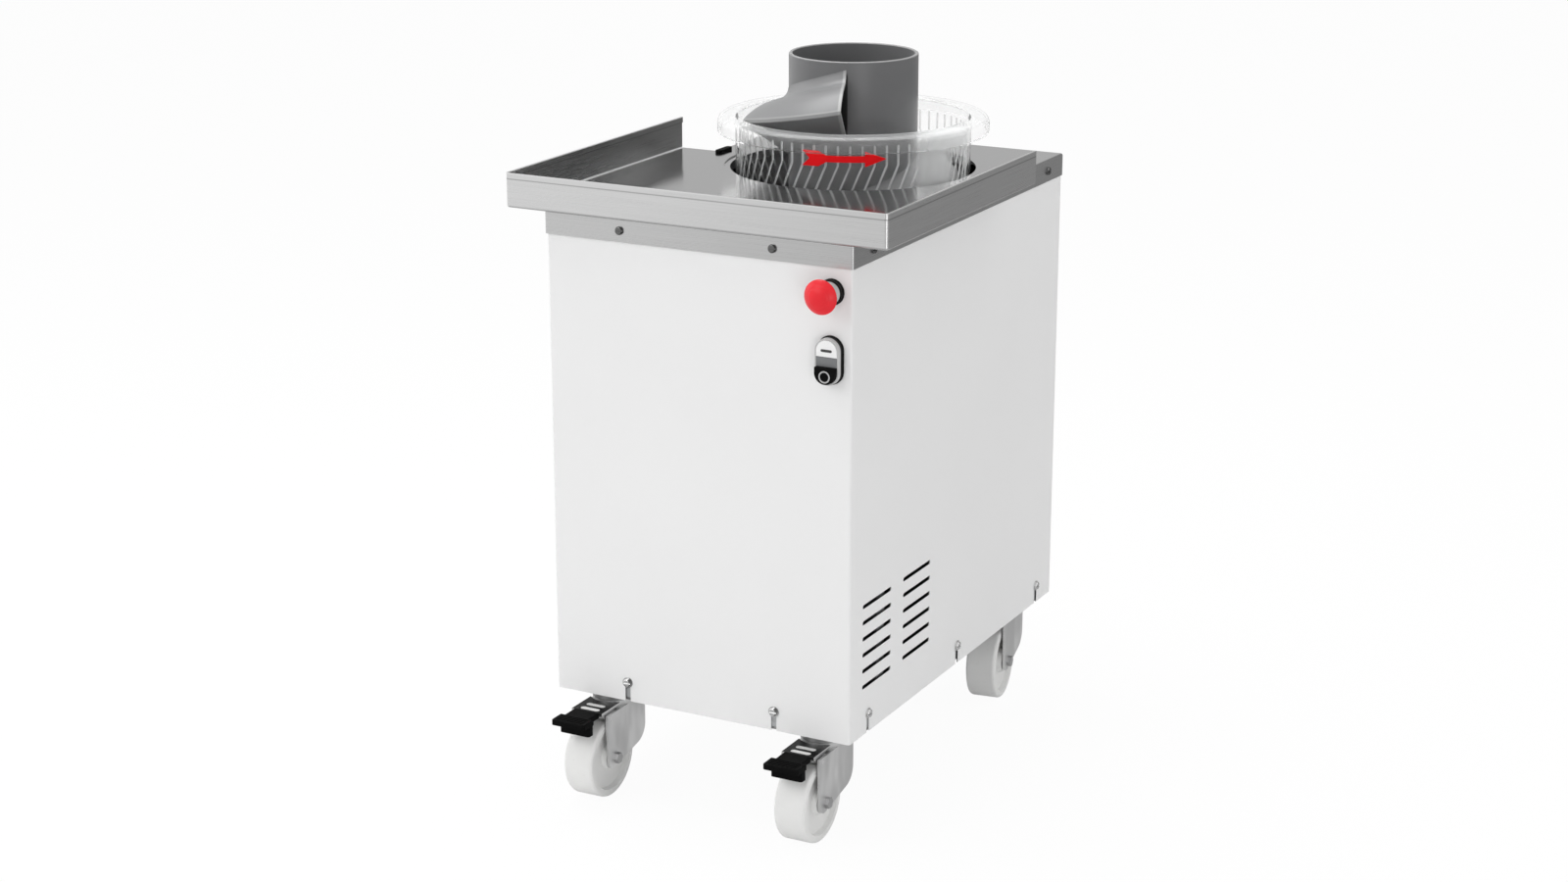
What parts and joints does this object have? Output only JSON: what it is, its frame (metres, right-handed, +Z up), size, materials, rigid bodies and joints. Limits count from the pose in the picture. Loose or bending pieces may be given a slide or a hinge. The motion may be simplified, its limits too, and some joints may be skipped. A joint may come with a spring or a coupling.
{
  "type": "pizza dough rounder",
  "caption": "Floor-standing dough rounder on castors: white cabinet, steel lid and tray, and a clear ribbed bowl that turns round a fixed feed tube with a spiral flight.",
  "frame": {"origin": "floor level, midway between the pedal tips and the cable gland and on the cabinet's middle plane", "axes": "+Z up, -Y out of the cabinet's front with the switches, +X to the right as seen from the front"},
  "size_m": [0.492, 0.69, 0.862],
  "materials": {
    "white_paint": "satin powder coat",
    "stainless": "brushed",
    "zinc_steel": "zinc plated",
    "bare_steel": "machined",
    "galvanised": "galvanised sheet",
    "cast_alloy": "cast",
    "clear_plastic": "clear",
    "grey_plastic": "moulded",
    "white_nylon": "moulded",
    "black_plastic": "moulded",
    "red_plastic": "moulded",
    "white_plastic": "moulded",
    "silver_plastic": "satin",
    "lens_plastic": "diffuse",
    "rubber": "matt"
  },
  "bodies": {
    "cabinet": {"base_pan": "galvanised", "frame_posts": "galvanised", "top_rails": "galvanised", "drive_rails": "galvanised", "cabinet_wrap": "white_paint", "rear_panel": "white_paint", "cable_gland": "black_plastic", "lid": "stainless", "cabinet_screws": "zinc_steel", "tray_clips": "black_plastic", "auger_post": "bare_steel", "auger_pin": "bare_steel", "bearing_outer_rings": "bare_steel", "bearing_housing": "cast_alloy", "bearing_plate": "bare_steel", "motor_plate": "bare_steel", "frame_bolts": "zinc_steel", "drive_belt": "rubber", "motor_housing": "cast_alloy", "motor_fan_cover": "black_plastic", "control_box": "black_plastic", "switch_gaskets": "rubber", "estop_collar": "silver_plastic", "button_bezel": "silver_plastic", "button_lens": "lens_plastic", "contact_blocks": "black_plastic", "castor_plates": "zinc_steel"},
    "turning_bowl": {"bowl": "clear_plastic", "bowl_hub": "cast_alloy", "bowl_fasteners": "zinc_steel", "drive_shaft": "bare_steel", "bearing_inner_rings": "bare_steel", "driven_pulley": "cast_alloy"},
    "motor_rotor": {"motor_shaft": "bare_steel", "motor_pulley": "cast_alloy", "motor_fan": "black_plastic"},
    "auger": {"feed_tube": "grey_plastic", "auger_flight": "grey_plastic", "auger_chute": "grey_plastic"},
    "tray": {"tray": "stainless"},
    "estop_plunger": {"estop_plunger": "silver_plastic"},
    "estop_head": {"estop_head": "red_plastic"},
    "start_button": {"start_button": "white_plastic"},
    "stop_button": {"stop_button": "black_plastic"},
    "castor_front_left": {"fork_front_left": "zinc_steel", "axle_front_left": "zinc_steel"},
    "wheel_front_left": {"wheel_front_left": "white_nylon"},
    "castor_front_right": {"fork_front_right": "zinc_steel", "axle_front_right": "zinc_steel"},
    "wheel_front_right": {"wheel_front_right": "white_nylon"},
    "castor_rear_left": {"fork_rear_left": "zinc_steel", "axle_rear_left": "zinc_steel"},
    "wheel_rear_left": {"wheel_rear_left": "white_nylon"},
    "castor_rear_right": {"fork_rear_right": "zinc_steel", "axle_rear_right": "zinc_steel"},
    "wheel_rear_right": {"wheel_rear_right": "white_nylon"},
    "brake_front_left": {"brake_lever_front_left": "zinc_steel", "brake_pedal_front_left": "black_plastic"},
    "brake_front_right": {"brake_lever_front_right": "zinc_steel", "brake_pedal_front_right": "black_plastic"}
  },
  "joints": [
    {"name": "bowl_spin", "type": "hinge", "parent": "cabinet", "child": "turning_bowl", "pos_m": [0, 0.121, 0.6], "axis": [0, 0, 1], "continuous": true},
    {"name": "motor_spin", "type": "hinge", "parent": "cabinet", "child": "motor_rotor", "pos_m": [0, -0.103, 0.3], "axis": [0, 0, 1], "continuous": true},
    {"name": "auger_lift", "type": "slide", "parent": "cabinet", "child": "auger", "axis": [0, 0, 1], "range_m": [0, 0.2]},
    {"name": "tray_slide", "type": "slide", "parent": "cabinet", "child": "tray", "axis": [0, -1, 0], "range_m": [0, 0.15]},
    {"name": "estop_press", "type": "slide", "parent": "cabinet", "child": "estop_plunger", "axis": [0, 1, 0], "range_m": [0, 0.005], "stiffness_N_per_m": 1500},
    {"name": "estop_twist", "type": "hinge", "parent": "estop_plunger", "child": "estop_head", "pos_m": [0.1728, -0.3, 0.664], "axis": [0, 1, 0], "range_deg": [0, 45], "stiffness_Nm_per_rad": 0.05},
    {"name": "start_press", "type": "slide", "parent": "cabinet", "child": "start_button", "axis": [0, 1, 0], "range_m": [0, 0.003], "stiffness_N_per_m": 800},
    {"name": "stop_press", "type": "slide", "parent": "cabinet", "child": "stop_button", "axis": [0, 1, 0], "range_m": [0, 0.003], "stiffness_N_per_m": 800},
    {"name": "swivel_front_left", "type": "hinge", "parent": "cabinet", "child": "castor_front_left", "pos_m": [-0.143, -0.237, 0.11], "axis": [0, 0, 1], "continuous": true},
    {"name": "roll_front_left", "type": "hinge", "parent": "castor_front_left", "child": "wheel_front_left", "pos_m": [-0.143, -0.275, 0.05], "axis": [1, 0, 0], "continuous": true},
    {"name": "swivel_front_right", "type": "hinge", "parent": "cabinet", "child": "castor_front_right", "pos_m": [0.143, -0.237, 0.11], "axis": [0, 0, 1], "continuous": true},
    {"name": "roll_front_right", "type": "hinge", "parent": "castor_front_right", "child": "wheel_front_right", "pos_m": [0.143, -0.275, 0.05], "axis": [1, 0, 0], "continuous": true},
    {"name": "swivel_rear_left", "type": "hinge", "parent": "cabinet", "child": "castor_rear_left", "pos_m": [-0.143, 0.279, 0.11], "axis": [0, 0, 1], "continuous": true},
    {"name": "roll_rear_left", "type": "hinge", "parent": "castor_rear_left", "child": "wheel_rear_left", "pos_m": [-0.143, 0.241, 0.05], "axis": [1, 0, 0], "continuous": true},
    {"name": "swivel_rear_right", "type": "hinge", "parent": "cabinet", "child": "castor_rear_right", "pos_m": [0.143, 0.279, 0.11], "axis": [0, 0, 1], "continuous": true},
    {"name": "roll_rear_right", "type": "hinge", "parent": "castor_rear_right", "child": "wheel_rear_right", "pos_m": [0.14829, 0.24137, 0.05], "axis": [0.9903, 0.1392, 0], "continuous": true},
    {"name": "brake_front_left", "type": "hinge", "parent": "castor_front_left", "child": "brake_front_left", "pos_m": [-0.143, -0.285, 0.104], "axis": [1, 0, 0], "range_deg": [0, 14]},
    {"name": "brake_front_right", "type": "hinge", "parent": "castor_front_right", "child": "brake_front_right", "pos_m": [0.143, -0.285, 0.104], "axis": [1, 0, 0], "range_deg": [0, 14]}
  ],
  "couplings": [
    {"joint": "motor_spin", "follows": "bowl_spin", "ratio": 5.25}
  ]
}
